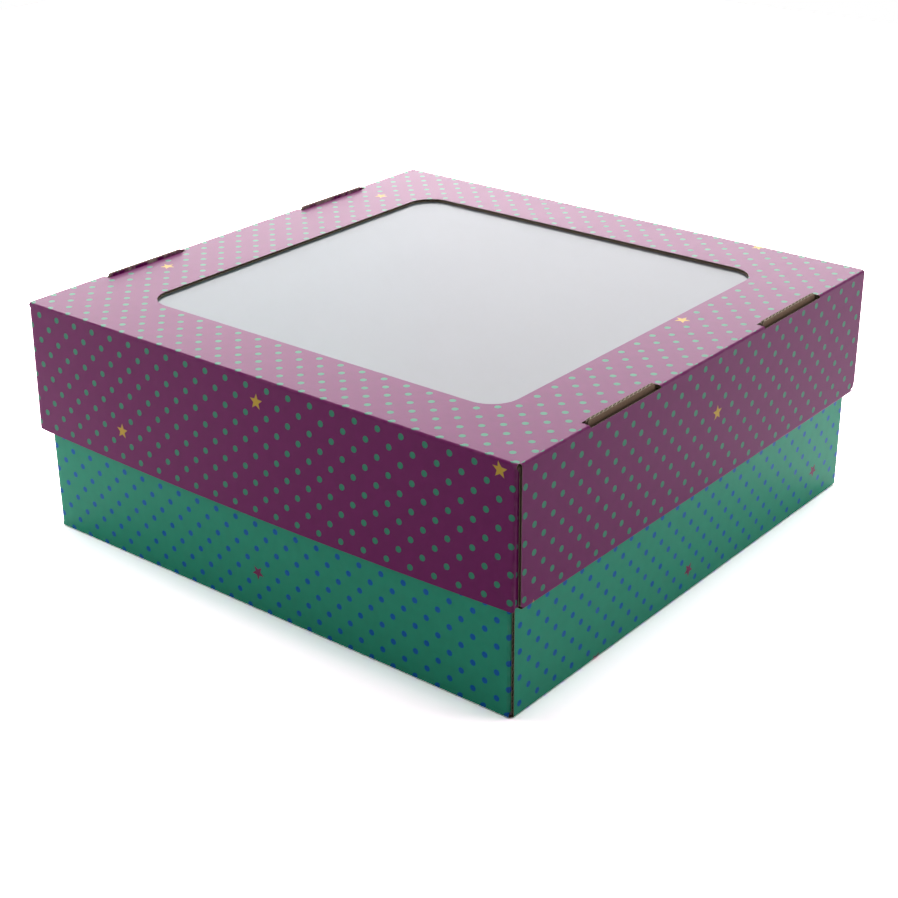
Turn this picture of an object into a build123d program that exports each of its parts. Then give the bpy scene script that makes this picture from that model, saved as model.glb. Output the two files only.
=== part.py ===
"""A die-cut corrugated sweet box: a printed lid with a film window over a printed base.

Lid and base are each one board blank folded into a tray. The two side walls (left and
right) are rolled over into double walls, with the ears of the front and back walls
caught between their plies, and the inner ply locks with tabs into slots at the crease
of the flat panel. The origin is the middle of the underside, X runs across the double
walls, Y from front to back and Z up. All lengths are in millimetres.
"""

from build123d import *
import os

# Board and folds
board = 1.5
ply_gap = 0.1
fold_round_share = 0.8

# Lid, outside
lid_width = 312.0
lid_depth = 304.0
lid_wall_height = 69.0
closed_height = 126.0
lid_wall_lean = 1.8
lid_wall_bow = 3.9

# How the lid sits over the base
side_clearance = 0.25
front_clearance = 0.8
seat_gap = 0.2

# Window and its film
window_side_margin = 43.0
window_front_margin = 39.5
window_corner = 15.0
window_shift = 1.5
film_thickness = 0.25
film_overlap = 13.0
film_corner = 4.0

# Lock tabs and their slots
tab_length = 52.0
tab_centre = 74.0
tab_corner = 1.0
slot_end_play = 1.75
slot_side_play = 0.3
slot_lip_drop = 1.2
lid_tab_proud = 1.3
lid_tab_lean = 0.8
base_tab_short = 0.3

# Ears, rims and cut corners
ear_length = 45.0
ear_corner = 6.0
outer_wall_inset = 1.8
outer_wall_corner = 1.5
single_wall_corner = 2.0
inner_wall_end_gap = 0.6

# Worked out from the sizes above
fold_round = board * fold_round_share
double_wall = 3 * board + 2 * ply_gap
base_width = lid_width - 2 * (double_wall + side_clearance)
base_depth = lid_depth - 2 * (board + front_clearance)
base_height = closed_height - board - seat_gap
rim_inset = outer_wall_inset + outer_wall_corner
window_width = lid_width - 2 * window_side_margin
window_depth = lid_depth - 2 * window_front_margin


class Tray:
    """The sizes of one folded tray, whose panel lies at z = 0 and whose rim is up."""

    def __init__(self, width, depth, height):
        self.height = height
        self.side = width / 2
        self.front = -depth / 2
        self.back = depth / 2
        self.inner_face = self.side - double_wall
        self.lean = 0
        self.bow = 0
        self.tab_lean = 0
        self.tab_reach = -base_tab_short
        self.slot_inner = self.inner_face - slot_side_play
        self.slot_outer = self.inner_face + board + slot_side_play
        self.lip_drop = 0


base = Tray(base_width, base_depth, base_height)

# The lid's single walls lean and bow out at the rim, and its slots cut through the crease
lid = Tray(lid_width, lid_depth, lid_wall_height)
lid.lean = lid_wall_lean
lid.bow = lid_wall_bow
lid.tab_lean = lid_tab_lean
lid.tab_reach = lid_tab_proud
lid.slot_outer = lid.side - board
lid.lip_drop = slot_lip_drop


def rectangle(low, high):
    """A rectangle between two corners of the sketch."""
    width = high[0] - low[0]
    height = high[1] - low[1]
    return Pos(low[0] + width / 2, low[1] + height / 2) * Rectangle(width, height)


def along_x(section, low, high):
    """A section drawn in Y and Z, carried along X."""
    plane = Plane.YZ.offset((low + high) / 2)
    return extrude(plane * section, amount=(high - low) / 2, both=True)


def along_y(section, low, high):
    """A section drawn in X and Z, carried along Y."""
    plane = Plane.XZ.offset(-(low + high) / 2)
    return extrude(plane * section, amount=(high - low) / 2, both=True)


def along_z(section, low, high):
    """A section drawn in X and Y, carried up Z."""
    return extrude(Plane.XY.offset(low) * section, amount=high - low)


def low_corners(section):
    """The two corners of a four-sided section with the smaller second coordinate."""
    return section.vertices().sort_by(Axis.Y)[:2]


def high_corners(section):
    """The two corners of a four-sided section with the larger second coordinate."""
    return section.vertices().sort_by(Axis.Y)[-2:]


def slot_plan(inner, outer):
    """The right wall's two lock slots, between two places along X."""
    half = tab_length / 2 + slot_end_play
    front_slot = rectangle((inner, -tab_centre - half), (outer, half - tab_centre))
    back_slot = rectangle((inner, tab_centre - half), (outer, tab_centre + half))
    return front_slot + back_slot


def panel(tray):
    """The flat panel between the walls, cut by the lock slots of both double walls."""
    low = (board - tray.side, tray.front + board)
    high = (tray.side - board, tray.back - board)
    slots = along_z(slot_plan(tray.slot_inner, tray.slot_outer), 0, board)
    return along_z(rectangle(low, high), 0, board) - slots - mirror(slots, Plane.YZ)


def window_panel(tray):
    """The lid's panel with the round-cornered window cut out, a little to the right."""
    window = RectangleRounded(window_width, window_depth, window_corner)
    return panel(tray) - along_z(Pos(window_shift, 0) * window, 0, board)


def film():
    """The clear film glued to the panel's inner face, all round the window."""
    width = window_width + 2 * film_overlap
    depth = window_depth + 2 * film_overlap
    sheet = Pos(window_shift, 0) * RectangleRounded(width, depth, film_corner)
    return along_z(sheet, board, board + film_thickness)


def front_wall(tray):
    """The single front wall, rounded at its folds and at its two cut corners."""
    end = tray.side - board - ply_gap
    inner = tray.front + board
    plan = rectangle((-end, tray.front), (end, inner))
    plan = fillet(low_corners(plan), fold_round)
    upright = rectangle((tray.front, 0), (inner, tray.height))
    crease = low_corners(upright).sort_by(Axis.X)[0]
    upright = fillet(crease, fold_round)
    outline = rectangle((-end, 0), (end, tray.height))
    outline = fillet(high_corners(outline), single_wall_corner)
    wall = along_z(plan, 0, tray.height) & along_x(upright, -end, end)
    return wall & along_y(outline, tray.front, inner)


def bowed_strip(end, outer, bow):
    """The plan of a wall's rim, bowed outward in an arc between its two ends."""
    inner = outer + board
    outer_arc = ThreePointArc((-end, outer), (0, outer - bow), (end, outer))
    inner_arc = ThreePointArc((-end, inner), (0, inner - bow), (end, inner))
    ends = [Line((-end, outer), (-end, inner)), Line((end, outer), (end, inner))]
    return make_face([outer_arc, inner_arc, *ends])


def bowed_front_wall(tray):
    """The single front wall, straight at its crease, and leaning and bowed at its rim."""
    end = tray.side - board - ply_gap
    crease_plan = rectangle((-end, tray.front), (end, tray.front + board)).face()
    rim_plan = Pos(0, 0, tray.height) * bowed_strip(end, tray.front - tray.lean, tray.bow)
    wall = loft([crease_plan, rim_plan], ruled=True)
    rim_corners = wall.edges().group_by(Axis.Z)[-1].filter_by(Axis.Y)
    wall = fillet(rim_corners, single_wall_corner)
    crease = wall.edges().group_by(Axis.Z)[0].sort_by(Axis.Y)[0]
    uprights = wall.edges().filter_by(Plane.YZ).sort_by(SortBy.LENGTH)[-4:]
    return fillet([crease, *uprights.sort_by(Axis.Y)[:2]], fold_round)


def ear(tray):
    """The ear that turns in from the front wall between the right wall's plies."""
    outer = tray.side - board - ply_gap
    start = tray.front + board
    low = board + ply_gap
    high = tray.height - board - ply_gap
    low_start = start - tray.lean * low / tray.height
    high_start = start - tray.lean * high / tray.height
    free_end = start + ear_length
    outline = Polygon(
        (low_start, low), (free_end, low), (free_end, high), (high_start, high), align=None
    )
    free = outline.vertices().sort_by(Axis.X)[-2:]
    return along_x(chamfer(free, ear_corner), outer - board, outer)


def outer_wall(tray):
    """The right outer ply, whose raw ends show a little behind the tray's corners."""
    top = tray.height - board
    inner = tray.side - board
    near = tray.front + outer_wall_inset
    far = tray.back - outer_wall_inset
    section = rectangle((inner, 0), (tray.side, top))
    crease = low_corners(section).sort_by(Axis.X)[-1]
    section = fillet(crease, fold_round)
    outline = rectangle((near, 0), (far, top))
    outline = fillet(high_corners(outline), outer_wall_corner)
    sheet = along_y(section, near, far) & along_x(outline, inner, tray.side)
    if tray.lip_drop:
        sheet -= along_z(slot_plan(inner, tray.side), 0, tray.lip_drop)
    return sheet


def rim_strip(tray):
    """The narrow strip over which the right wall is rolled, from ply to ply."""
    low = (tray.inner_face, tray.height - board)
    high = (tray.side, tray.height)
    section = rectangle(low, high)
    section = fillet(high_corners(section), fold_round)
    return along_y(section, tray.front + rim_inset, tray.back - rim_inset)


def inner_wall(tray):
    """The right inner ply, which hangs from the rim down to the panel."""
    low = (tray.inner_face, board + ply_gap)
    high = (tray.inner_face + board, tray.height - board - ply_gap)
    end = tray.back - board - inner_wall_end_gap
    return along_y(rectangle(low, high), -end, end)


def lock_tabs(tray):
    """The right inner ply's two tabs, which stand in the panel's slots."""
    half = tab_length / 2
    inner = tray.inner_face + tray.tab_lean
    tabs = []
    for middle in (-tab_centre, tab_centre):
        low = (middle - half, -tray.tab_reach)
        high = (middle + half, board + ply_gap)
        outline = rectangle(low, high)
        outline = chamfer(low_corners(outline), tab_corner)
        tabs.append(along_x(outline, inner, inner + board))
    return Compound(tabs)


def tray_pieces(tray, name):
    """Every piece of a tray but its panel, with the left and back ones mirrored."""
    single_wall = bowed_front_wall(tray) if tray.bow else front_wall(tray)
    pieces = {f"{name}_front_wall": single_wall}
    pieces[f"{name}_back_wall"] = mirror(single_wall, Plane.XZ)
    front_ear = ear(tray)
    ears = {"front": front_ear, "back": mirror(front_ear, Plane.XZ)}
    makers = {
        "outer_wall": outer_wall,
        "rim_strip": rim_strip,
        "inner_wall": inner_wall,
        "lock_tabs": lock_tabs,
    }
    for place, shape in ears.items():
        pieces[f"{name}_{place}_right_ear"] = shape
        pieces[f"{name}_{place}_left_ear"] = mirror(shape, Plane.YZ)
    for kind, maker in makers.items():
        shape = maker(tray)
        pieces[f"{name}_right_{kind}"] = shape
        pieces[f"{name}_left_{kind}"] = mirror(shape, Plane.YZ)
    return pieces


def turned_over(shape):
    """A lid piece, from its tray's own frame to its place on the closed box."""
    return Pos(0, 0, closed_height) * mirror(shape, Plane.XY)


def all_pieces():
    """Every node of the closed box by name."""
    pieces = {"base_bottom_panel": panel(base)}
    pieces.update(tray_pieces(base, "base"))
    lid_pieces = {"lid_top_panel": window_panel(lid), "window_film": film()}
    lid_pieces.update(tray_pieces(lid, "lid"))
    for name, shape in lid_pieces.items():
        pieces[name] = turned_over(shape)
    return pieces


os.makedirs("parts", exist_ok=True)
for node, solid in all_pieces().items():
    export_step(solid, f"parts/{node}.step")
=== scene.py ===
"""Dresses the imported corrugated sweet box: fluted boards, dotted print, folds and a clear film.

Every board is built as the real one is, from a printed liner, a fluted medium and a plain
liner. A tray is worked out in millimetres in a frame of its own, with its flat panel at
z = 0 and its rim up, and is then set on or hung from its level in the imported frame.
"""

from functools import partial
import math

import bpy
import numpy as np
from mathutils import Matrix, Vector


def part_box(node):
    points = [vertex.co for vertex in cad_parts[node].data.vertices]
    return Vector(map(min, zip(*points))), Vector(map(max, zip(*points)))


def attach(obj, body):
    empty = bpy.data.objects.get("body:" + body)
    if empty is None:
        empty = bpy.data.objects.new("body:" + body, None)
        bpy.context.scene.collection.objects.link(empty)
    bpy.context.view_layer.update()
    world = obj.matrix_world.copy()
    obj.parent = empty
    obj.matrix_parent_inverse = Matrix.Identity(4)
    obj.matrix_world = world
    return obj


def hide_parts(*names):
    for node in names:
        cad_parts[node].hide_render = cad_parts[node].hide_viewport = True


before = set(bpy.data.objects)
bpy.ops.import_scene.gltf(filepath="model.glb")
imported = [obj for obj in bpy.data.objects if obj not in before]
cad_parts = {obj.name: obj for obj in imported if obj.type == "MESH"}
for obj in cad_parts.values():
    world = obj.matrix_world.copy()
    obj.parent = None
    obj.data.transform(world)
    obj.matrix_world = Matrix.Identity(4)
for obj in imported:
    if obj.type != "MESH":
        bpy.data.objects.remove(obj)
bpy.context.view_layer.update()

bl_info = {
    "name": "Corrugated Sweet Box",
    "version": (1, 0, 0),
    "blender": (4, 5, 0),
    "location": "3D View > Sidebar > Sweet Box",
    "description": "Fluted boards, dotted print and window film of a lidded sweet box",
    "category": "Object",
}

MM = 0.001

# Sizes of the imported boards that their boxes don't give, in millimetres
FOLD_ROUND = 1.2
FOLD_SQUASH = 0.5
SLIT_TWIST = 3.0
TAB_LENGTH = 52.0
TAB_CORNER = 1.0
SLOT_END_PLAY = 1.75
SLOT_SIDE_PLAY = 0.3
EAR_CORNER = 6.0
WALL_BOW = 3.9
FILM_OVERLAP = 13.0
WINDOW_CORNER = 15.0

# Rim corners as the knife cut them: how far along the rim, and how far up the wall
FRONT_CORNER = (2.0, 2.0)
FRONT_LEFT_CORNER = (5.0, 1.6)
SIDE_NEAR_CORNER = (1.5, 1.5)
SIDE_FAR_CORNER = (4.5, 5.0)

# How far from the edge a rim corner's cut is taken up, on the single walls and on the sides
SINGLE_CORNER_RUN = 12.0
SIDE_CORNER_RUN = 8.0

# How far the fluted paper stands back from cut edges: as a rule, where the knife cut across
# the flutes, and where it opened one; over how many times as far it is squeezed; and how many
# times thicker it is mashed in the lid's tabs
MEDIUM_SHORT = 0.5
FLUTE_END_SHORT = 0.15
OPEN_FLUTE_SHORT = 1.7
SQUEEZE_SHARE = 4
TAB_CRUSH = 2.5

# Wear of the print, where 1 is a fold: the way over which it sets in, the less rubbed top of a
# rim and half its width, and the lock tabs, which the slots rub
WEAR_START = 0.3
CREST_WEAR = 0.4
RIM_CREST = 0.6
TAB_RUB = 16.0

# Steps in a quarter turn, in one flute, and along and up a bowed wall
ARC_STEPS = 9
FLUTE_STEPS = 8
BOW_STEPS = 32
ROW_STEPS = 10

# Points in a corner of the window and of a rim, over a slit's twist, and towards a wall's end
WINDOW_CORNER_POINTS = 13
CORNER_POINTS = 7
TWIST_POINTS = 5
RUN_POINTS = 5

# Least share of a flute's step between its points, and the least bend in degrees of an edge
APART_SHARE = 0.3
SHARP_BEND = 35

# Which way a piece is mirrored: it is made as the right or the back one
TURN = {"right": 1, "left": -1, "back": 1, "front": -1}

# Finishes of a board's faces, in the order of its material slots
PRINT, KRAFT, MEDIUM, CUT = range(4)

# Soft edge of the ink in millimetres, a star's notches as a share of its tips, and the most
# dots in a row
EDGE_SOFT = 0.12
NOTCH_SHARE = 0.44
ROW_NUMBER = 1000

# The flutes' ripple as a share of the fibres' height, the paper where ink is rubbed off, and
# a varnish that sinks in, so that it shines less than a full coat at 1.5
RIPPLE_SHARE = 0.35
RUBBED_PAPER = "#B9A79C"
VARNISH_IOR = 1.22

# Kraft paper's dark flecks and light fibres, as shares of its colour
FLECK_SHARE = 0.72
FIBRE_SHARE = 1.18

# The film's own tint and its haze's, the haze's share, and the lamplight that it lets through
FILM_TINT = "#F9FBFD"
HAZE_TINT = "#CDD2D8"
HAZE_SHARE = 0.4
LAMPLIGHT_THROUGH = (0.2, 0.205, 0.215)


def hex_colour(code):
    """A written sRGB colour as linear red, green and blue."""
    parts = np.array([int(code[i : i + 2], 16) for i in (1, 3, 5)]) / 255
    linear = np.where(parts <= 0.04045, parts / 12.92, ((parts + 0.055) / 1.055) ** 2.4)
    return tuple(float(part) for part in linear)


def box_mm(node):
    """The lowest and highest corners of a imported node, in millimetres."""
    low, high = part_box(node)
    return np.array(low) / MM, np.array(high) / MM


def length(name, description, default):
    """A size in metres that the sidebar shows."""
    return bpy.props.FloatProperty(
        name=name, description=description, default=default, min=0.0, precision=5,
        unit="LENGTH", subtype="DISTANCE",
    )


def colour(name, description, code):
    """A colour that the sidebar shows, from its written sRGB value."""
    return bpy.props.FloatVectorProperty(
        name=name, description=description, default=hex_colour(code), min=0.0, max=1.0,
        size=3, subtype="COLOR",
    )


class SWEETBOX_PG_board(bpy.types.PropertyGroup):
    """Make-up of the corrugated board."""

    flute_pitch: length("Flute pitch", "Distance from flute to flute", 3.3 * MM)
    liner: length("Liner", "Thickness of each flat liner", 0.2 * MM)
    medium: length("Medium", "Thickness of the fluted paper between them", 0.16 * MM)
    kraft: colour("Kraft", "Plain inner liner", "#957A66")
    medium_tint: colour("Medium tint", "Fluted paper", "#736352")
    cut_tint: colour("Cut tint", "Knife-cut liner edges", "#B0A08C")


class SWEETBOX_PG_print(bpy.types.PropertyGroup):
    """Printed dots and stars of one blank."""

    ground: colour("Ground", "Printed ground", "#7A1764")
    dot: colour("Dots", "Printed dots", "#409478")
    star: colour("Stars", "Printed stars", "#E0B84A")
    pitch: length("Pitch", "Distance from dot to dot in a row", 13.3 * MM)
    dot_size: length("Dot size", "Diameter of a dot", 3.1 * MM)
    star_size: length("Star size", "From the middle of a star to a tip", 3.95 * MM)


class SWEETBOX_PG_settings(bpy.types.PropertyGroup):
    """Everything that the sidebar shows."""

    board: bpy.props.PointerProperty(type=SWEETBOX_PG_board)
    lid: bpy.props.PointerProperty(type=SWEETBOX_PG_print)
    base: bpy.props.PointerProperty(type=SWEETBOX_PG_print)


class Tray:
    """The sizes of one tray in millimetres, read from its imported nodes."""

    def __init__(self, name, panel, facing):
        low, high = box_mm(panel)
        wall = box_mm(f"{name}_front_wall")
        ear = box_mm(f"{name}_front_right_ear")
        ply, rim, inner, tabs = (
            box_mm(f"{name}_right_{part}")
            for part in ("outer_wall", "rim_strip", "inner_wall", "lock_tabs")
        )
        self.name = name
        self.panel = panel
        self.body = name
        self.facing = facing
        self.slot = f"{name}_board"
        self.level = low[2] if facing > 0 else high[2]
        self.board = high[2] - low[2]
        self.panel_x = high[0]
        self.panel_y = high[1]
        self.front = high[1] + self.board
        self.side = ply[1][0]
        self.ply_end = ply[1][1]
        self.height = self.levels(rim)[1]
        self.top = self.height - self.board
        self.rim_y = rim[1][1]
        self.end = wall[1][0]
        self.reach = max(0.0, round(-wall[0][1] - self.front, 3))
        self.bow = WALL_BOW if self.reach else 0.0
        self.inner_face = inner[0][0]
        self.inner_y = inner[1][1]
        self.inner_low = self.levels(inner)[0]
        self.tab_x = tabs[0][0]
        self.tab_tip = self.levels(tabs)[0]
        self.tab_y = tabs[1][1] - TAB_LENGTH / 2
        self.ear_y = -ear[1][1]
        self.ear_low, self.ear_high = self.levels(ear)

    def flap(self, side):
        """The body of an inner ply, which folds on the base and stays with the lid."""
        return f"{side}_inner_flap" if self.facing > 0 else self.body

    def levels(self, box):
        """A packed box's lowest and highest level above the outer face of this tray's panel."""
        return sorted(self.facing * (corner[2] - self.level) for corner in box)

    def wall_y(self, x, z):
        """Outer face of the single wall: it leans, and bows in a parabola, towards its rim."""
        lean = self.reach - self.bow
        return self.front + z / self.height * (lean + self.bow * (1 - (x / self.end) ** 2))


# The base's own print, where it differs from the lid's
BASE_COLOURS = {"ground": "#30A888", "dot": "#0069C2", "star": "#8C2F63"}
BASE_PITCH = 13.2 * MM

# Strength of the world as a light, and where it is looked at
WORLD_FILL = 0.05
WORLD_SEEN = 1.0

# The floor's place, and its colour as it lights the box, in mirrors and glass, and to the
# camera, where it is white all round the box's shadow
FLOOR_HALF = 1.3
FLOOR_LEVEL = -0.0002
FLOOR_LIGHT = (0.8, 0.8, 0.8)
FLOOR_MIRRORED = (2.2, 2.2, 2.2)
FLOOR_SEEN = (3.7, 3.15, 3.35)

# The camera's place in metres, its azimuth, elevation and roll in degrees, and its lens in mm
CAMERA_PLACE = (0.543783, -0.674228, 0.437321)
CAMERA_ANGLES = (39.1276, 25.0332, -0.4762)
SENSOR_WIDTH = 36.0
FOCAL_LENGTH = 71.14

# Soft lamps: name, place, aim, size, power and tint
LAMPS = (
    ("back_softbox", (-1.0, 1.24, 1.1), (0, 0, 0.12), (2.0, 1.1), 13, (1, 0.96, 0.96)),
    ("low_softbox", (-1.58, 1.94, 0.42), (0, 0, 0.12), (2.6, 0.6), 61, (1, 0.95, 0.95)),
    ("over_softbox", (-0.2, 0.3, 1.8), (0, 0, 0.12), (1.6, 1.6), 20.5, (1, 1, 1)),
    ("right_softbox", (1.1, 0.75, 0.6), (0.1, 0.1, 0.05), (0.8, 0.8), 3.8, (1, 1, 1)),
    ("left_softbox", (-0.85, -0.55, 0.36), (-0.1, -0.1, 0.05), (0.4, 0.4), 2.5, (1, 1, 1)),
)

LID = Tray("lid", "lid_top_panel", -1)
BASE = Tray("base", "base_bottom_panel", 1)

# Where a dot's centre lies on each printed face: along its fold, down from the fold, and the
# face's own block of dots, in which stars are named
PRINT_ORIGIN = {
    "lid": {
        "front": (-153.35, -1.9, 0),
        "right": (-141.3, 4.5, 100),
        "left": (-141.3, 4.5, 200),
        "back": (-153.35, -1.9, 300),
    },
    "base": {
        "front": (-141.0, 1.5, 0),
        "right": (-137.4, -0.6, 100),
        "left": (-140.2, -0.5, 200),
        "back": (-139.65, 2.64, 300),
    },
}

# Stars, by their dot's place in the print
STARS = {
    "lid": (
        (20.5, 13.5), (1, 6), (1.5, 18.5), (18.5, 22.5), (12, -1), (5, -4), (22.5, -0.5),
        (111, -2), (100, -5), (206, -3), (217.5, -1.5), (304, -3), (315.5, -1.5),
    ),
    "base": (
        (10.5, -1.5), (110, -1), (119.5, -1.5), (104, 0), (103, -6), (208, -3),
        (214.5, -6.5), (305, -2), (317.5, -5.5), (6, 12), (15.5, 5.5),
    ),
}


def fold(way, edge, board):
    """A board's two skins where it turns a corner at the end of a straight run.

    way is the distance walked on the outer skin from the run's far end, and edge is where
    the corner would be if it were sharp. The outer skin follows a quarter circle and then
    goes straight in, and the inner skin only creeps on, because the board is crushed.
    Returns how far the outer skin has come, how deep it has turned in, and how far the
    inner skin has come.
    """
    start = edge - FOLD_ROUND
    whole = FOLD_ROUND * math.pi / 2 + board - FOLD_ROUND
    turn = np.clip((way - start) / FOLD_ROUND, 0, math.pi / 2)
    past = np.clip(way - start - FOLD_ROUND * math.pi / 2, 0, None)
    outer = np.where(way < start, way, start + FOLD_ROUND * np.sin(turn))
    depth = FOLD_ROUND * (1 - np.cos(turn)) + past
    last = edge - board
    creep = FOLD_SQUASH * np.clip((way - start) / whole, 0, 1)
    inner = np.where(way < start, way * (last - FOLD_SQUASH) / start, last - FOLD_SQUASH + creep)
    return outer, depth, inner


def fold_length(edge, board):
    """The whole way on the outer skin, from the far end of a run to the end of its fold."""
    return edge - FOLD_ROUND + FOLD_ROUND * math.pi / 2 + board - FOLD_ROUND


def fold_stops(edge, board):
    """The places on the way at which a fold needs a row of points."""
    arc = edge - FOLD_ROUND + FOLD_ROUND * np.linspace(0, math.pi / 2, ARC_STEPS + 1)
    return np.append(arc, fold_length(edge, board))


def unfolded(way, edge, board):
    """Distance from the sharp fold line, on a print that runs on over the fold unbroken."""
    start = edge - FOLD_ROUND
    stretch = (FOLD_ROUND + board) / (fold_length(edge, board) - start)
    return np.where(way < start, edge - way, FOLD_ROUND - (way - start) * stretch)


def slab(top, under, mask):
    """A closed slab between two grids of points.

    mask says which cells are board. Each gets a face on both sides, and a wall wherever the
    next cell is missing. Returns the points, the four-cornered faces, and each face's
    side: 0 on top, 1 under and 2 on a cut edge. Faces are turned if the volume is negative.
    """
    shape = top.shape[:2]
    near = np.arange(shape[0] * shape[1]).reshape(shape)
    far = near + near.size
    rows, columns = np.nonzero(mask)
    corner = [(0, 0), (1, 0), (1, 1), (0, 1)]
    tops = np.stack([near[rows + i, columns + j] for i, j in corner], 1)
    faces = [tops, tops[:, ::-1] + near.size]
    sides = [np.zeros(len(tops), int), np.ones(len(tops), int)]
    padded = np.pad(mask, 1)
    walls = (
        (-1, 0, (0, 0), (0, 1)), (1, 0, (1, 1), (1, 0)),
        (0, -1, (1, 0), (0, 0)), (0, 1, (0, 1), (1, 1)),
    )
    for down, right, first, second in walls:
        open_side = mask & ~padded[1 + down : 1 + down + mask.shape[0],
                                   1 + right : 1 + right + mask.shape[1]]
        i, j = np.nonzero(open_side)
        a = (i + first[0], j + first[1])
        b = (i + second[0], j + second[1])
        faces.append(np.stack([near[a], near[b], far[b], far[a]], 1))
        sides.append(np.full(len(i), 2))
    points = np.concatenate([top.reshape(-1, 3), under.reshape(-1, 3)])
    faces = np.concatenate(faces)
    a, b, c, d = (points[faces[:, k]] for k in range(4))
    volume = (a * np.cross(b, c)).sum() + (a * np.cross(c, d)).sum()
    if volume < 0:
        faces = faces[:, ::-1]
    return points, faces, np.concatenate(sides)


class Piece:
    """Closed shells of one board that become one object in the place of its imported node."""

    def __init__(self, tray, across=1, back=1):
        self.tray = tray
        self.scale = np.array([across, back, tray.facing]) * MM
        self.lift = np.array([0.0, 0.0, tray.level]) * MM
        self.shells = []
        self.count = 0

    def add(self, top, under, mask, finishes, maps, wear):
        """Adds a closed slab, with its finishes for top, under and edges, and its maps."""
        scale, lift = self.scale, self.lift
        points, faces, sides = slab(top * scale + lift, under * scale + lift, mask)
        used, tight = np.unique(faces, return_inverse=True)
        maps = [np.tile(each.reshape(-1, 2), (2, 1))[used] for each in maps]
        wear = np.tile(wear.ravel(), 2)[used]
        finish = np.array(finishes)[sides]
        faces = tight.reshape(faces.shape) + self.count
        self.shells.append((points[used], faces, finish, maps, wear))
        self.count += len(used)

    def finish(self, node, body):
        """Makes the object, smooth but for its sharp edges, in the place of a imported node."""
        points, faces, finish, maps, wear = zip(*self.shells)
        points = np.concatenate(points)
        faces = np.concatenate(faces).astype(np.int32)
        mesh = bpy.data.meshes.new(f"{node}_board")
        mesh.vertices.add(len(points))
        mesh.vertices.foreach_set("co", points.ravel())
        mesh.loops.add(faces.size)
        mesh.loops.foreach_set("vertex_index", faces.ravel())
        mesh.polygons.add(len(faces))
        mesh.polygons.foreach_set("loop_start", np.arange(0, faces.size, 4))
        mesh.polygons.foreach_set("material_index", np.concatenate(finish))
        mesh.polygons.foreach_set("use_smooth", np.ones(len(faces), bool))
        mesh.update(calc_edges=True)
        for index, name in enumerate(("blank", "flutes")):
            layer = mesh.uv_layers.new(name=name)
            places = np.concatenate([each[index] for each in maps])
            layer.uv.foreach_set("vector", places[faces].astype(np.float32).ravel())
        scuff = mesh.attributes.new("fold", "FLOAT", "POINT")
        scuff.data.foreach_set("value", np.concatenate(wear).astype(np.float32))
        mesh.set_sharp_from_angle(angle=math.radians(SHARP_BEND))
        for material in board_materials(self.tray.name):
            mesh.materials.append(material)
        board = bpy.data.objects.new(mesh.name, mesh)
        bpy.context.scene.collection.objects.link(board)
        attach(board, body)
        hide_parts(node)


def drawn_in(places, short=MEDIUM_SHORT):
    """Rows of places with both ends drawn in, and the places beside the ends squeezed."""
    stretch = SQUEEZE_SHARE * short
    near = np.clip(1 - (places - places[..., :1]) / stretch, 0, 1)
    far = np.clip(1 - (places[..., -1:] - places) / stretch, 0, 1)
    return places + short * (near - far)


def flush(places):
    """Places that stay as they are, where the fluted paper reaches the cut edge."""
    return places


def corrugate(
    piece, rows, columns, skins, printed, present=None, ends=(drawn_in, drawn_in),
    turned=False, crush=1.0,
):
    """Fills the space between two skins with printed liner, fluted medium and plain liner.

    rows are the places across the flutes at which the outline changes, and columns(rows)
    gives the places along them for each row. skins(row, column) gives the outer and inner
    skin, and printed(row, column) the place in the print and the wear; turned says that both
    take the column first. present(middles) says which cells are board. The medium is a sine
    wave across the flutes that just touches both liners. ends draws its rows and columns
    back from the cut edges, and crush thickens it where a knife mashed it.
    """
    sizes = bpy.context.scene.sweet_box.board
    pitch = sizes.flute_pitch / MM
    step = pitch / FLUTE_STEPS
    liner = sizes.liner / MM / piece.tray.board
    half = crush * sizes.medium / MM / piece.tray.board / 2
    kept = ends[0](rows)
    fine = np.arange(kept[0], kept[-1], step)
    apart = np.abs(fine[:, None] - kept[None]).min(1) > APART_SHARE * step
    fine = np.sort(np.concatenate([kept, fine[apart]]))
    swing = 0.5 - liner - half
    wave = 0.5 + swing * np.sin(2 * math.pi * fine / pitch)[:, None]
    layers = (
        (rows, 0.0, liner, (PRINT, MEDIUM, CUT)),
        (fine, wave - half, wave + half, (MEDIUM, MEDIUM, CUT)),
        (rows, 1.0 - liner, 1.0, (MEDIUM, KRAFT, CUT)),
    )
    for places, low, high, finishes in layers:
        along = columns(places).astype(float)
        if places is fine:
            along = ends[1](along)
        across = np.broadcast_to(places[:, None], along.shape)
        pair = (along, across) if turned else (across, along)
        outer, inner = skins(*pair)
        low = np.broadcast_to(low, along.shape)[..., None]
        high = np.broadcast_to(high, along.shape)[..., None]
        mask = np.ones((len(places) - 1, along.shape[1] - 1), bool)
        if present:
            mask = present((places[1:] + places[:-1]) / 2)
        blank, wear = printed(*pair)
        maps = (blank, np.stack([across, along], -1))
        top = outer + (inner - outer) * low
        under = outer + (inner - outer) * high
        piece.add(top, under, mask, finishes, maps, wear)


def corrugate_sheet(piece, along, up, skins, printed):
    """Corrugates a rectangle of a side wall: the lid's flutes run up, and the base's along Y."""
    if piece.tray.facing < 0:
        corrugate(piece, along, straight(up), skins, printed)
    else:
        corrugate(piece, up, straight(along), skins, printed, turned=True)


def straight(places):
    """Columns that stand at the same places in every row."""
    return lambda rows: np.zeros_like(rows)[:, None] + places


def stops(*places):
    """Sorted places without repeats."""
    return np.unique(np.round(np.concatenate([np.atleast_1d(p) for p in places]), 6))


def points(x, y, z):
    """Points from coordinates that may each be a single number."""
    return np.stack(np.broadcast_arrays(x, y, z), -1).astype(float)


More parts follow.
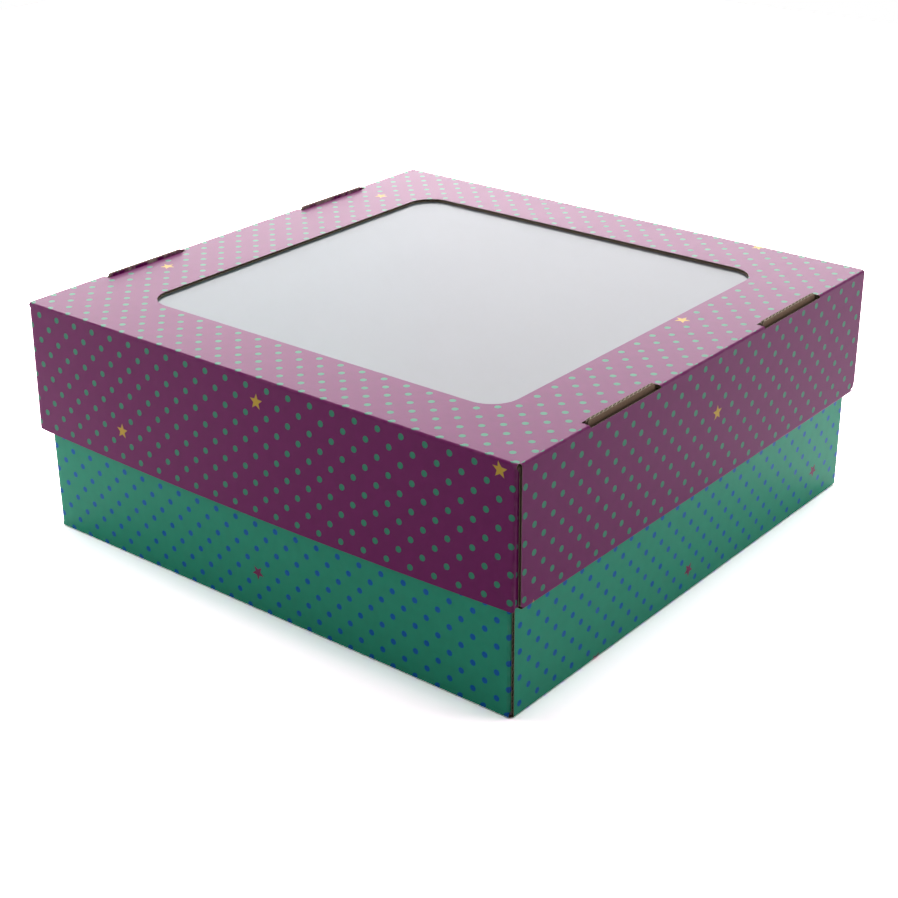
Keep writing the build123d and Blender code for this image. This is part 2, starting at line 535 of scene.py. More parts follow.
def corner_cut(distance, size):
    """How much a rim corner takes off one side, at a distance along the other.

    The corner is a quarter ellipse. size is its extent along that distance, and across it.
    """
    share = np.clip(1 - distance / size[0], 0, 1)
    return size[1] * (1 - np.sqrt(1 - share**2))


def corner_stops(size):
    """Distances along a rim corner that follow its quarter ellipse."""
    return size * (1 - np.cos(np.linspace(0, math.pi / 2, CORNER_POINTS)))


def fold_wear(way, edge):
    """Wear that sets in where a fold starts to turn."""
    return np.clip((way - edge + FOLD_ROUND) / WEAR_START, 0, 1)


def wall_print(tray, face, along, down):
    """A place on a wall as a place in the print, in pitches.

    Both axes count whole dots from the face's own origin. The second runs towards the fold,
    so that a star's first tip points there.
    """
    pitch = getattr(bpy.context.scene.sweet_box, tray.name).pitch / MM
    start, first, block = PRINT_ORIGIN[tray.name][face]
    return np.stack([(along - start) / pitch + block, (first - down) / pitch], -1)


def panel_print(tray, x, y):
    """Print of the flat panel, which carries on the front wall's, and its wear, which is none."""
    pitch = getattr(bpy.context.scene.sweet_box, tray.name).pitch / MM
    start, first, _ = PRINT_ORIGIN[tray.name]["front"]
    place = np.stack([(x - start) / pitch, (y + tray.front + first) / pitch], -1)
    return place, np.zeros_like(x)


def panel_skins(tray, x, y):
    """Skins of the flat panel: the printed face at 0, and the inner face one board further in."""
    return points(x, y, 0), points(x, y, tray.board)


def slot_ends(tray):
    """Both ends of each lock slot along Y, in order."""
    half = TAB_LENGTH / 2 + SLOT_END_PLAY
    outer, inner = tray.tab_y + half, tray.tab_y - half
    return np.array([-outer, -inner, inner, outer])


def in_slot(tray, y):
    """Where a place along Y lies within a lock slot."""
    ends = slot_ends(tray)
    return (np.abs(y) > ends[2]) & (np.abs(y) < ends[3])


def make_window_panel():
    """The lid's top panel: flutes along X, a round-cornered window, and slots at both ends.

    Where a corner of the window is past, a quarter circle brings its side edges in.
    """
    tray = LID
    piece = Piece(tray)
    film_low, film_high = box_mm("window_film")
    left, right = film_low[0] + FILM_OVERLAP, film_high[0] - FILM_OVERLAP
    back = film_high[1] - FILM_OVERLAP
    turn = np.linspace(0, math.pi / 2, WINDOW_CORNER_POINTS)
    arc = back - WINDOW_CORNER + WINDOW_CORNER * np.sin(turn)
    rows = stops(-tray.panel_y, tray.panel_y, slot_ends(tray), arc, -arc)
    slot_x = tray.inner_face - SLOT_SIDE_PLAY

    def columns(y):
        past = np.clip((np.abs(y) - back + WINDOW_CORNER) / WINDOW_CORNER, 0, 1)
        inset = WINDOW_CORNER * (1 - np.sqrt(1 - past**2))
        flat = np.zeros_like(y)
        edges = (-tray.panel_x, -slot_x, left + inset, right - inset, slot_x, tray.panel_x)
        return np.stack([flat + edge for edge in edges], 1)

    def present(y):
        mask = np.ones((len(y), 5), bool)
        mask[:, 0] = mask[:, 4] = ~in_slot(tray, y)
        mask[:, 2] = np.abs(y) > back
        return mask

    def beside_window(x):
        return x + FLUTE_END_SHORT * np.array([0, 0, -1, 1, 0, 0])

    corrugate(
        piece, rows, columns, partial(panel_skins, tray), partial(panel_print, tray),
        present, (flush, beside_window), turned=True,
    )
    piece.finish(tray.panel, tray.body)


def make_bottom_panel():
    """The base's bottom panel: flutes along Y, and slots inside the two side folds."""
    tray = BASE
    piece = Piece(tray)
    slot_low = tray.inner_face - SLOT_SIDE_PLAY
    slot_high = tray.inner_face + tray.board + SLOT_SIDE_PLAY
    rows = stops(-tray.panel_x, tray.panel_x, slot_low, slot_high, -slot_low, -slot_high)
    columns = straight(stops(-tray.panel_y, tray.panel_y, slot_ends(tray)))

    def present(x):
        mask = np.ones((len(x), 5), bool)
        slotted = (np.abs(x) > slot_low) & (np.abs(x) < slot_high)
        mask[:, 1] = mask[:, 3] = ~slotted
        return mask

    corrugate(
        piece, rows, columns, partial(panel_skins, tray), partial(panel_print, tray), present
    )
    piece.finish(tray.panel, tray.body)


def single_wall_skins(tray, a, q):
    """Skins of a front wall, at a way a from its middle and a way q from its rim.

    Both ends turn in at the ear folds and the foot turns in at the panel's fold. Beside the
    panel's fold the ear fold opens flat, because a slit parts the ear from the panel there.
    The wall's outer face looks towards +Y here; the front wall is mirrored from it.
    """
    board = tray.board
    sign, a = np.sign(a), np.abs(a)
    out_z, deep_z, in_z = fold(q, tray.height, board)
    out_x, deep_x, in_x = fold(a, tray.end, board)
    z = tray.height - out_z
    closed = np.clip((z - FOLD_ROUND) / SLIT_TWIST, 0, 1)
    closed = closed * closed * (3 - 2 * closed)
    flat = a * tray.end / fold_length(tray.end, board)
    out_x = closed * out_x + (1 - closed) * flat
    in_x = closed * in_x + (1 - closed) * flat
    y = tray.wall_y(out_x, z)
    outer = points(sign * out_x, y - closed * deep_x - deep_z, z)
    in_level = tray.height - in_z
    inner_y = tray.wall_y(in_x, in_level) - board
    return outer, points(sign * in_x, inner_y, in_level)


def single_wall_print(tray, face, a, q):
    """Print of a front or back wall, and its wear along the folds at its ends and its foot."""
    worn = np.maximum(fold_wear(q, tray.height), fold_wear(np.abs(a), tray.end))
    return wall_print(tray, face, a, unfolded(q, tray.height, tray.board)), worn


def height_stops(tray, corners):
    """Ways from a single wall's rim at which its outline or its bend changes."""
    rounds = stops(*(corner_stops(corner[1]) for corner in corners))
    twist = tray.height - FOLD_ROUND - np.linspace(0, SLIT_TWIST, TWIST_POINTS)
    places = stops(0, rounds, twist, fold_stops(tray.height, tray.board))
    if tray.bow:
        places = stops(places, np.linspace(rounds[-1], twist[-1], ROW_STEPS))
    return places


def make_lid_single_wall(face):
    """The lid's front or back wall: flutes along X, and a rim that leans and bows out."""
    tray = LID
    piece = Piece(tray, 1, TURN[face])
    corners = (FRONT_LEFT_CORNER if face == "front" else FRONT_CORNER, FRONT_CORNER)
    reach = fold_length(tray.end, tray.board)
    run = tray.end - SINGLE_CORNER_RUN
    arcs = fold_stops(tray.end, tray.board)
    past = np.append(np.linspace(run, arcs[0], RUN_POINTS)[:-1], arcs)
    shares = (past - run) / (reach - run)
    middle = np.linspace(-run, run, BOW_STEPS + 1)[1:-1]

    def columns(q):
        """Places along the wall at ways q, squeezed in where a rim corner is cut."""
        left, right = (reach - corner_cut(q, corner[::-1]) - run for corner in corners)
        return np.hstack([
            -run - left[:, None] * shares[::-1],
            np.zeros_like(q)[:, None] + middle,
            run + right[:, None] * shares,
        ])

    corrugate(
        piece, height_stops(tray, corners), columns, partial(single_wall_skins, tray),
        partial(single_wall_print, tray, face), turned=True,
    )
    piece.finish(f"lid_{face}_wall", tray.body)


def make_base_single_wall(face):
    """The base's front or back wall, upright, with its flutes up and down."""
    tray = BASE
    piece = Piece(tray, 1, TURN[face])
    reach = fold_length(tray.end, tray.board)
    q_stops = height_stops(tray, (FRONT_CORNER, FRONT_CORNER))
    ends = stops(
        reach - corner_stops(FRONT_CORNER[0]), fold_stops(tray.end, tray.board),
        tray.end - SINGLE_CORNER_RUN,
    )
    bent = np.clip(1 - q_stops / SINGLE_CORNER_RUN, 0, 1)

    def columns(a):
        return q_stops + corner_cut(reach - np.abs(a), FRONT_CORNER)[:, None] * bent

    corrugate(
        piece, stops(-ends, ends), columns, partial(single_wall_skins, tray),
        partial(single_wall_print, tray, face),
    )
    piece.finish(f"base_{face}_wall", tray.body)


def make_ear(tray, place, side):
    """An ear between the plies of a side wall, with its free corners cut off."""
    piece = Piece(tray, TURN[side], TURN[place])
    start, free = tray.panel_y, tray.ear_y
    low, high = tray.ear_low, tray.ear_high
    lean = tray.reach - tray.bow
    cuts = np.array([0, EAR_CORNER])

    def skins(y, z):
        return points(tray.end, y, z), points(tray.end - tray.board, y, z)

    def printed(y, z):
        return wall_print(tray, place, tray.end + start - y, z), np.zeros_like(y)

    if tray.facing < 0:
        # The ear starts at its fold, which leans with the wall
        def columns(z):
            cut = np.clip(EAR_CORNER - np.minimum(z - low, high - z), 0, None)
            return np.stack([free + cut, start + lean * z / tray.height], 1)

        corrugate(piece, stops(low + cuts, high - cuts), columns, skins, printed, turned=True)
    else:
        def columns(y):
            cut = np.clip(EAR_CORNER - (y - free), 0, None)
            return np.stack([low + cut, high - cut], 1)

        corrugate(piece, stops(free + cuts, start), columns, skins, printed)
    piece.finish(f"{tray.name}_{place}_{side}_ear", tray.body)


def outer_wall_skins(tray, y, q):
    """Skins of a side wall's outer ply, at a way q from the rim strip; its foot turns in."""
    out, deep, inner = fold(q, tray.top, tray.board)
    outer = points(tray.side - deep, y, tray.top - out)
    return outer, points(tray.side - tray.board, y, tray.top - inner)


def outer_wall_print(tray, side, y, q):
    """Print of a side wall's outer ply, and its wear along the fold at its foot."""
    down = unfolded(q, tray.top, tray.board)
    return wall_print(tray, side, y, down), fold_wear(q, tray.top)


def make_lid_outer_wall(side):
    """The lid's outer ply: flutes up and down, raw ends, and a low lip at each slot."""
    tray = LID
    piece = Piece(tray, TURN[side])
    near, far, end = SIDE_NEAR_CORNER, SIDE_FAR_CORNER, tray.ply_end
    rows = stops(-end + corner_stops(near[0]), end - corner_stops(far[0]), slot_ends(tray))
    q_stops = np.append([0.0, SIDE_CORNER_RUN], fold_stops(tray.top, tray.board))

    def columns(y):
        cut = corner_cut(y + end, near) + corner_cut(end - y, far)
        return q_stops + cut[:, None] * (q_stops == 0)

    def present(y):
        mask = np.ones((len(y), len(q_stops) - 1), bool)
        mask[:, 2:] = ~in_slot(tray, y)[:, None]
        return mask

    corrugate(
        piece, rows, columns, partial(outer_wall_skins, tray),
        partial(outer_wall_print, tray, side), present,
        (partial(drawn_in, short=OPEN_FLUTE_SHORT), drawn_in),
    )
    piece.finish(f"lid_{side}_outer_wall", tray.body)


def make_base_outer_wall(side):
    """The base's outer ply: flutes along Y, cut across at both raw ends."""
    tray = BASE
    piece = Piece(tray, TURN[side])
    corner = SIDE_NEAR_CORNER
    rows = stops(corner_stops(corner[1]), SIDE_CORNER_RUN, fold_stops(tray.top, tray.board))

    def columns(q):
        end = tray.ply_end - corner_cut(q, corner[::-1])
        return np.stack([-end, end], 1)

    corrugate(
        piece, rows, columns, partial(outer_wall_skins, tray),
        partial(outer_wall_print, tray, side),
        ends=(drawn_in, partial(drawn_in, short=FLUTE_END_SHORT)), turned=True,
    )
    piece.finish(f"base_{side}_outer_wall", tray.body)


def rim_path(tray):
    """The rim's outer skin from ply to ply over the top: ways along it, X and Z.

    It goes up, round a quarter circle, across, round a second one and down.
    """
    turn = np.linspace(0, math.pi / 2, ARC_STEPS + 1)
    rise = tray.height - FOLD_ROUND
    out, up = FOLD_ROUND * (1 - np.cos(turn)), FOLD_ROUND * np.sin(turn)
    x = np.hstack([tray.side, tray.side - out, tray.inner_face + out[::-1], tray.inner_face])
    z = np.hstack([tray.top, rise + up, rise + up[::-1], tray.top])
    way = np.append(0, np.cumsum(np.hypot(np.diff(x), np.diff(z))))
    return way, x, z


def make_rim_strip(tray, side):
    """The rim over which a side wall is rolled: a U-shaped outer skin on a flat inner one."""
    piece = Piece(tray, TURN[side])
    way, path_x, path_z = rim_path(tray)
    low_x, high_x = tray.inner_face + FOLD_SQUASH, tray.side - FOLD_SQUASH

    def skins(y, w):
        outer = points(np.interp(w, way, path_x), y, np.interp(w, way, path_z))
        return outer, points(high_x + (low_x - high_x) * w / way[-1], y, tray.top)

    def printed(y, w):
        worn = np.where(np.abs(w - way[-1] / 2) < RIM_CREST, CREST_WEAR, 1.0)
        return wall_print(tray, side, y, tray.top + w), worn

    corrugate_sheet(piece, np.array([-tray.rim_y, tray.rim_y]), way, skins, printed)
    piece.finish(f"{tray.name}_{side}_rim_strip", tray.body)


def inner_ply(tray, side, x, wear):
    """Skins and print of an inner ply whose face stands at x, with the same wear all over.

    The print comes up the outer ply, over the rim strip and down to here.
    """
    whole = rim_path(tray)[0][-1] + 2 * tray.top

    def skins(y, z):
        return points(x, y, z), points(x + tray.board, y, z)

    def printed(y, z):
        return wall_print(tray, side, y, whole - z), np.full_like(z, wear)

    return skins, printed


def make_inner_wall(tray, side):
    """A side wall's inner ply, printed on its face towards the sweets."""
    piece = Piece(tray, TURN[side])
    levels = np.array([tray.inner_low, tray.top - (tray.inner_low - tray.board)])
    ends = np.array([-tray.inner_y, tray.inner_y])
    corrugate_sheet(piece, ends, levels, *inner_ply(tray, side, tray.inner_face, 0.0))
    piece.finish(f"{tray.name}_{side}_inner_wall", tray.flap(side))


def make_lock_tabs(tray, side):
    """A side wall's two lock tabs, which stand in the panel's slots with their tips cut off."""
    piece = Piece(tray, TURN[side])
    skins, printed = inner_ply(tray, side, tray.tab_x, TAB_RUB)
    tip, high = tray.tab_tip, tray.inner_low
    for middle in (-tray.tab_y, tray.tab_y):
        near, far = middle - TAB_LENGTH / 2, middle + TAB_LENGTH / 2
        if tray.facing < 0:
            def columns(y):
                cut = np.clip(TAB_CORNER - np.minimum(y - near, far - y), 0, None)
                return np.stack([tip + cut, np.zeros_like(y) + high], 1)

            rows = stops(near, near + TAB_CORNER, far - TAB_CORNER, far)
            corrugate(
                piece, rows, columns, skins, printed, ends=(flush, flush), crush=TAB_CRUSH
            )
        else:
            def columns(z):
                cut = np.clip(TAB_CORNER - (z - tip), 0, None)
                return np.stack([near + cut, far - cut], 1)

            rows = stops(tip, tip + TAB_CORNER, high)
            corrugate(piece, rows, columns, skins, printed, turned=True)
    piece.finish(f"{tray.name}_{side}_lock_tabs", tray.flap(side))


def add(tree, kind, inputs=(), **settings):
    """Adds one node: its options, and its sockets set to values or joined to other nodes.

    A node given for a socket is joined by the first output that its options leave on.
    """
    node = tree.nodes.new("ShaderNode" + kind)
    for name, value in settings.items():
        setattr(node, name, value)
    for name, value in dict(inputs).items():
        if isinstance(value, bpy.types.Node):
            value = next(output for output in value.outputs if output.enabled)
        if isinstance(value, bpy.types.NodeSocket):
            tree.links.new(value, node.inputs[name])
        else:
            node.inputs[name].default_value = value
    return node


def fresh_material(name):
    """An empty node material, and its node tree."""
    material = bpy.data.materials.new(name)
    material.use_nodes = True
    material.node_tree.nodes.clear()
    return material, material.node_tree


def rgba(value):
    """A colour with full alpha, for a node's colour socket."""
    return (*value, 1.0)


def diagonal_ways(tree, place):
    """How far a place lies along the two diagonals of its axes."""
    return [
        add(tree, "VectorMath", {0: place, 1: way}, operation="DOT_PRODUCT")
        for way in ((1, 1, 0), (1, -1, 0))
    ]


def nearest_dot(tree, pitch):
    """The nearest dot's place in the lattice, and the way from that dot in millimetres.

    Dots stand on a lattice turned by 45 degrees: with the print's two axes U and V in
    pitches, every whole pair of U + V and U - V is a dot.
    """
    ways = diagonal_ways(tree, add(tree, "UVMap", uv_map="blank"))
    lattice = add(tree, "CombineXYZ", dict(enumerate(ways)))
    shifted = add(tree, "VectorMath", {0: lattice, 1: (0.5, 0.5, 0)}, operation="ADD")
    dot_place = add(tree, "VectorMath", {0: shifted}, operation="FLOOR")
    off = add(tree, "VectorMath", {0: lattice, 1: dot_place}, operation="SUBTRACT")
    scale = pitch / math.sqrt(2)
    off_mm = add(tree, "VectorMath", {0: off, "Scale": scale}, operation="SCALE")
    return dot_place, off_mm


def star_shape(tree, off_mm, reach, tip):
    """1 within a star round each dot: five equal sectors, cut off by lines from tip to notch."""
    sector = math.pi / 5
    ways = diagonal_ways(tree, off_mm)
    angle = add(tree, "Math", dict(enumerate(ways)), operation="ARCTAN2")
    turned = add(tree, "Math", {0: angle, 1: -sector, 2: sector}, operation="WRAP")
    within = add(tree, "Math", {0: turned}, operation="ABSOLUTE")
    notch = NOTCH_SHARE * tip
    square = math.atan2(tip - notch * math.cos(sector), notch * math.sin(sector))
    edge = tip * math.cos(square)
    aside = add(tree, "Math", {0: within, 1: square}, operation="SUBTRACT")
    share = add(tree, "Math", {0: aside}, operation="COSINE")
    towards = add(tree, "Math", {0: share, 1: reach}, operation="MULTIPLY")
    return add(
        tree, "MapRange",
        {"Value": towards, "From Min": edge + EDGE_SOFT, "From Max": edge - EDGE_SOFT},
    )


def starred_dots(tree, dot_place, stars):
    """1 at the dots where a star stands: each dot's place becomes one whole number."""
    number = add(
        tree, "VectorMath", {0: dot_place, 1: (1, ROW_NUMBER, 0)}, operation="DOT_PRODUCT"
    )
    starred = 0.0
    for u, v in stars:
        wanted = (u + v) + ROW_NUMBER * (u - v)
        match = add(tree, "Math", {0: number, 1: wanted, 2: 0.5}, operation="COMPARE")
        starred = add(tree, "Math", {0: match, 1: starred}, operation="MAXIMUM")
    return starred


def washboard(tree, fibre):
    """The flutes' faint ripple in the liner, a sine of the way across them, with fibres on it."""
    across = add(tree, "SeparateXYZ", {0: add(tree, "UVMap", uv_map="flutes")})
    pitch = bpy.context.scene.sweet_box.board.flute_pitch / MM
    phase = add(tree, "Math", {0: across, 1: 2 * math.pi / pitch}, operation="MULTIPLY")
    ripple = add(tree, "Math", {0: phase}, operation="SINE")
    height = add(
        tree, "Math", {0: ripple, 1: RIPPLE_SHARE, 2: fibre}, operation="MULTIPLY_ADD"
    )
    return add(tree, "Bump", {"Strength": 0.25, "Distance": 0.02 * MM, "Height": height})


def satin_print(name, settings, stars):
    """Offset print under a satin water-based varnish, on a white-lined corrugated liner.

    The eye sees crisp dots and stars, ink a little uneven over 6 mm clouds and 0.4 mm fibres,
    a broad soft sheen at low angles, a faint washboard from the flutes below, and ink rubbed
    thin along the folds.
    """
    tree = fresh_material(name)[1]
    dot_place, off_mm = nearest_dot(tree, settings.pitch / MM)
    reach = add(tree, "VectorMath", {0: off_mm}, operation="LENGTH")
    radius = settings.dot_size / MM / 2
    dot = add(
        tree, "MapRange",
        {"Value": reach, "From Min": radius + EDGE_SOFT, "From Max": radius - EDGE_SOFT},
    )
    star = star_shape(tree, off_mm, reach, settings.star_size / MM)
    starred = starred_dots(tree, dot_place, stars)
    place = add(tree, "TexCoord").outputs["Object"]
    cloud = add(tree, "TexNoise", {"Vector": place, "Scale": 1 / (6 * MM), "Detail": 4.0})
    fibre = add(tree, "TexNoise", {"Vector": place, "Scale": 1 / (0.4 * MM), "Detail": 2.0})
    uneven = add(
        tree, "MapRange",
        {"Value": cloud, "From Min": 0.3, "From Max": 0.7, "To Min": 0.95, "To Max": 1.05},
    )
    ground = add(
        tree, "VectorMath", {0: tuple(settings.ground), "Scale": uneven}, operation="SCALE"
    )
    dotted = add(
        tree, "Mix", {"Factor": dot, "A": ground, "B": rgba(settings.dot)}, data_type="RGBA"
    )
    starry = add(
        tree, "Mix", {"Factor": star, "A": ground, "B": rgba(settings.star)}, data_type="RGBA"
    )
    inked = add(tree, "Mix", {"Factor": starred, "A": dotted, "B": starry}, data_type="RGBA")
    folded = add(tree, "Attribute", attribute_name="fold").outputs["Fac"]
    rubbed = add(
        tree, "MapRange",
        {"Value": cloud, "From Min": 0.4, "From Max": 0.7, "To Min": 0.0, "To Max": 0.08},
    )
    wear = add(tree, "Math", {0: folded, 1: rubbed}, operation="MULTIPLY")
    worn = add(
        tree, "Mix", {"Factor": wear, "A": inked, "B": rgba(hex_colour(RUBBED_PAPER))},
        data_type="RGBA",
    )
    rough = add(
        tree, "MapRange",
        {"Value": fibre, "From Min": 0.3, "From Max": 0.7, "To Min": 0.35, "To Max": 0.45},
    )
    shader = add(
        tree, "BsdfPrincipled",
        {"Base Color": worn, "Roughness": rough, "Normal": washboard(tree, fibre),
         "IOR": VARNISH_IOR},
    )
    add(tree, "OutputMaterial", {"Surface": shader})


def kraft_paper(name, tint, rough, fibre_mm):
    """Unbleached kraft paper, machine made: matt, with fibres and darker flecks."""
    tree = fresh_material(name)[1]
    place = add(tree, "TexCoord").outputs["Object"]
    fibre = add(
        tree, "TexNoise",
        {"Vector": place, "Scale": 1 / (fibre_mm * MM), "Detail": 5.0, "Roughness": 0.65},
    )
    cloud = add(tree, "TexNoise", {"Vector": place, "Scale": 1 / (14 * MM), "Detail": 3.0})
    dark = tuple(FLECK_SHARE * part for part in tint)
    light = tuple(min(1.0, FIBRE_SHARE * part) for part in tint)
    mixed = add(tree, "MapRange", {"Value": fibre, "From Min": 0.28, "From Max": 0.62})
    fibred = add(
        tree, "Mix", {"Factor": mixed, "A": rgba(dark), "B": rgba(light)}, data_type="RGBA"
    )
    level = add(
        tree, "MapRange",
        {"Value": cloud, "From Min": 0.3, "From Max": 0.7, "To Min": 0.93, "To Max": 1.06},
    )
    shaded = add(tree, "VectorMath", {0: fibred, "Scale": level}, operation="SCALE")
    bump = add(tree, "Bump", {"Strength": 0.4, "Distance": 0.03 * MM, "Height": fibre})
    shader = add(
        tree, "BsdfPrincipled",
        {"Base Color": shaded, "Roughness": rough, "Normal": bump, "IOR": 1.45},
    )
    add(tree, "OutputMaterial", {"Surface": shader})


def clear_film():
    """Clear cast polyester packaging film: glass-like gloss at low angles, with a faint sag.

    A rough glass is mixed in as its haze, so that it looks pale and hides what lies below.
    """
    material, tree = fresh_material("clear_window_film")
    place = add(tree, "TexCoord").outputs["Object"]
    sag = add(tree, "TexNoise", {"Vector": place, "Scale": 1 / (70 * MM), "Detail": 1.0})
    bump = add(tree, "Bump", {"Strength": 0.3, "Distance": 1.0 * MM, "Height": sag})
    film = add(
        tree, "BsdfPrincipled",
        {"Base Color": rgba(hex_colour(FILM_TINT)), "Roughness": 0.05, "IOR": 1.64,
         "Transmission Weight": 1.0, "Normal": bump},
    )
    haze = add(
        tree, "BsdfGlass",
        {"Color": rgba(hex_colour(HAZE_TINT)), "Roughness": 0.5, "IOR": 1.38, "Normal": bump},
    )
    hazed = add(tree, "MixShader", {0: HAZE_SHARE, 1: film, 2: haze})
    # Lamps shine through the film onto the sweets, without a caustic pattern
    through = add(tree, "BsdfTransparent", {"Color": rgba(LAMPLIGHT_THROUGH)})
    lamp_ray = add(tree, "LightPath").outputs["Is Shadow Ray"]
    mixed = add(tree, "MixShader", {0: lamp_ray, 1: hazed, 2: through})
    add(tree, "OutputMaterial", {"Surface": mixed})
    return material


def board_materials(name):
    """A board's finishes in the order of its material slots, made once."""
    box = bpy.context.scene.sweet_box
    names = (f"{name}_satin_print", "kraft_liner", "fluted_medium", "knife_cut_edge")
    if names[1] not in bpy.data.materials:
        kraft_paper(names[1], box.board.kraft, 0.85, 0.5)
        kraft_paper(names[2], box.board.medium_tint, 0.9, 0.4)
        kraft_paper(names[3], box.board.cut_tint, 0.95, 0.3)
    if names[0] not in bpy.data.materials:
        satin_print(names[0], getattr(box, name), STARS[name])
    return [bpy.data.materials[each] for each in names]


def sight_rays(tree):
    """Whether a ray comes straight from the camera, and whether by a mirror or through glass."""
    rays = add(tree, "LightPath").outputs
    sent_on = add(
        tree, "Math", {0: rays["Is Glossy Ray"], 1: rays["Is Transmission Ray"]},
        operation="MAXIMUM",
    )
    return rays["Is Camera Ray"], sent_on


def floor_paint():
    """Matt pale paint, rolled on: even, without a sheen, and white where it is looked at."""
    material, tree = fresh_material("pale_floor_paint")
    direct, sent_on = sight_rays(tree)
    tone = add(
        tree, "Mix", {"Factor": sent_on, "A": rgba(FLOOR_LIGHT), "B": rgba(FLOOR_MIRRORED)},
        data_type="RGBA",
    )
    tone = add(
        tree, "Mix", {"Factor": direct, "A": tone, "B": rgba(FLOOR_SEEN)}, data_type="RGBA"
    )
    paint = add(tree, "BsdfDiffuse", {"Color": tone})
    add(tree, "OutputMaterial", {"Surface": paint})
    return material


def make_floor():
    """The square floor just under the box."""
    mesh = bpy.data.meshes.new("floor")
    corners = [(x * FLOOR_HALF, y * FLOOR_HALF, FLOOR_LEVEL)
               for x, y in ((-1, -1), (1, -1), (1, 1), (-1, 1))]
    mesh.from_pydata(corners, [], [(0, 1, 2, 3)])
    mesh.materials.append(floor_paint())
    floor = bpy.data.objects.new("floor", mesh)
    bpy.context.scene.collection.objects.link(floor)


def make_surroundings():
    """The world: white where it is looked at, and a weak light on the object."""
    world = bpy.data.worlds.new("white_surroundings")
    world.use_nodes = True
    tree = world.node_tree
    tree.nodes.clear()
    seen = add(tree, "Math", dict(enumerate(sight_rays(tree))), operation="MAXIMUM")
    light = add(tree, "Background", {"Color": (1, 1, 1, 1), "Strength": WORLD_FILL})
    white = add(tree, "Background", {"Color": (1, 1, 1, 1), "Strength": WORLD_SEEN})
    mixed = add(tree, "MixShader", {0: seen, 1: light, 2: white})
    add(tree, "OutputWorld", {"Surface": mixed})
    bpy.context.scene.world = world


def make_lamp(name, place, aim, size, power, tint):
    """A soft rectangular lamp at a place, turned to its aim."""
    light = bpy.data.lights.new(name, "AREA")
    light.shape = "RECTANGLE"
    light.size, light.size_y = size
    light.energy = power
    light.color = tint
    lamp = bpy.data.objects.new(name, light)
    lamp.location = place
    lamp.rotation_euler = (Vector(aim) - Vector(place)).to_track_quat("-Z", "Y").to_euler()
    lamp.visible_camera = False
    bpy.context.scene.collection.objects.link(lamp)


def make_camera():
    """The camera, turned to its azimuth, tilted to its elevation and rolled, in that order."""
    azimuth, elevation, roll = (math.radians(angle) for angle in CAMERA_ANGLES)
    turn = Matrix.Rotation(azimuth, 4, "Z") @ Matrix.Rotation(math.pi / 2 - elevation, 4, "X")
    lens = bpy.data.cameras.new("camera")
    lens.sensor_width = SENSOR_WIDTH
    lens.lens = FOCAL_LENGTH
    camera = bpy.data.objects.new("camera", lens)
    camera.matrix_world = (
        Matrix.Translation(CAMERA_PLACE) @ turn @ Matrix.Rotation(roll, 4, "Z")
    )
    bpy.context.scene.collection.objects.link(camera)
    bpy.context.scene.camera = camera


class SWEETBOX_OT_flat_panels(bpy.types.Operator):
    """Make the lid's window panel and the base's bottom panel"""

    bl_idname = "sweetbox.flat_panels"
    bl_label = "Flat Panels"

    def execute(self, context):
        make_window_panel()
        make_bottom_panel()
        return {"FINISHED"}


class SWEETBOX_OT_single_walls(bpy.types.Operator):
    """Make the front and back walls of lid and base"""

    bl_idname = "sweetbox.single_walls"
    bl_label = "Front and Back Walls"

    def execute(self, context):
        for make_single_wall in (make_lid_single_wall, make_base_single_wall):
            for face in ("front", "back"):
                make_single_wall(face)
        return {"FINISHED"}


class SWEETBOX_OT_ears(bpy.types.Operator):
    """Make the eight ears between the side walls' plies"""

    bl_idname = "sweetbox.ears"
    bl_label = "Ears"

    def execute(self, context):
        for tray in (LID, BASE):
            for place in ("front", "back"):
                for side in ("left", "right"):
                    make_ear(tray, place, side)
        return {"FINISHED"}


class SWEETBOX_OT_side_walls(bpy.types.Operator):
    """Make the rolled-over side walls: outer plies, rims, inner plies and lock tabs"""

    bl_idname = "sweetbox.side_walls"
    bl_label = "Side Walls"

    def execute(self, context):
        for tray, make_outer_wall in ((LID, make_lid_outer_wall), (BASE, make_base_outer_wall)):
            for side in ("left", "right"):
                make_outer_wall(side)
                make_rim_strip(tray, side)
                make_inner_wall(tray, side)
                make_lock_tabs(tray, side)
        return {"FINISHED"}


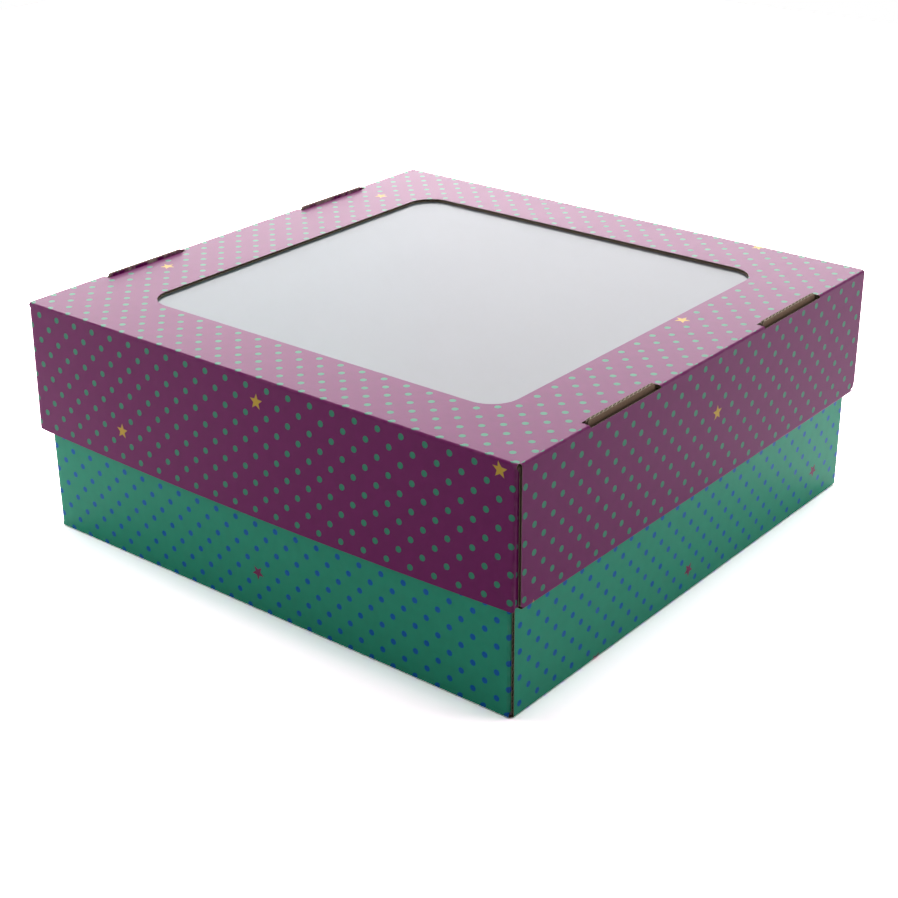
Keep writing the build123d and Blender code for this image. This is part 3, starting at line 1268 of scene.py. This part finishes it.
class SWEETBOX_OT_film(bpy.types.Operator):
    """Give the window film its clear gloss"""

    bl_idname = "sweetbox.film"
    bl_label = "Window Film"

    def execute(self, context):
        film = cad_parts["window_film"]
        film.data.materials.clear()
        film.data.materials.append(clear_film())
        return {"FINISHED"}


class SWEETBOX_OT_stage(bpy.types.Operator):
    """Make the pale floor, the white surroundings, the soft lamps and the camera"""

    bl_idname = "sweetbox.stage"
    bl_label = "Stage"

    def execute(self, context):
        make_floor()
        make_surroundings()
        for lamp in LAMPS:
            make_lamp(*lamp)
        make_camera()
        context.scene.view_settings.view_transform = "Standard"
        return {"FINISHED"}


OPERATORS = (
    SWEETBOX_OT_flat_panels,
    SWEETBOX_OT_single_walls,
    SWEETBOX_OT_ears,
    SWEETBOX_OT_side_walls,
    SWEETBOX_OT_film,
    SWEETBOX_OT_stage,
)


class SWEETBOX_PT_panel(bpy.types.Panel):
    """The sweet box's sizes, colours and makers"""

    bl_idname = "SWEETBOX_PT_panel"
    bl_label = "Sweet Box"
    bl_space_type = "VIEW_3D"
    bl_region_type = "UI"
    bl_category = "Sweet Box"

    def draw(self, context):
        box = context.scene.sweet_box
        for title, group in (("Board", box.board), ("Lid", box.lid), ("Base", box.base)):
            self.layout.label(text=title)
            for name in group.__annotations__:
                self.layout.prop(group, name)
        for operator in OPERATORS:
            self.layout.operator(operator.bl_idname)


CLASSES = (SWEETBOX_PG_board, SWEETBOX_PG_print, SWEETBOX_PG_settings, *OPERATORS,
           SWEETBOX_PT_panel)


def register():
    for each in CLASSES:
        bpy.utils.register_class(each)
    bpy.types.Scene.sweet_box = bpy.props.PointerProperty(type=SWEETBOX_PG_settings)


def unregister():
    del bpy.types.Scene.sweet_box
    for each in reversed(CLASSES):
        bpy.utils.unregister_class(each)


def main():
    """Registers the classes, gives the base its own print, and makes every piece."""
    register()
    base = bpy.context.scene.sweet_box.base
    for name, code in BASE_COLOURS.items():
        setattr(base, name, hex_colour(code))
    base.pitch = BASE_PITCH
    for operator in OPERATORS:
        group, name = operator.bl_idname.split(".")
        getattr(getattr(bpy.ops, group), name)()
    bpy.context.view_layer.update()


if __name__ == "__main__":
    main()
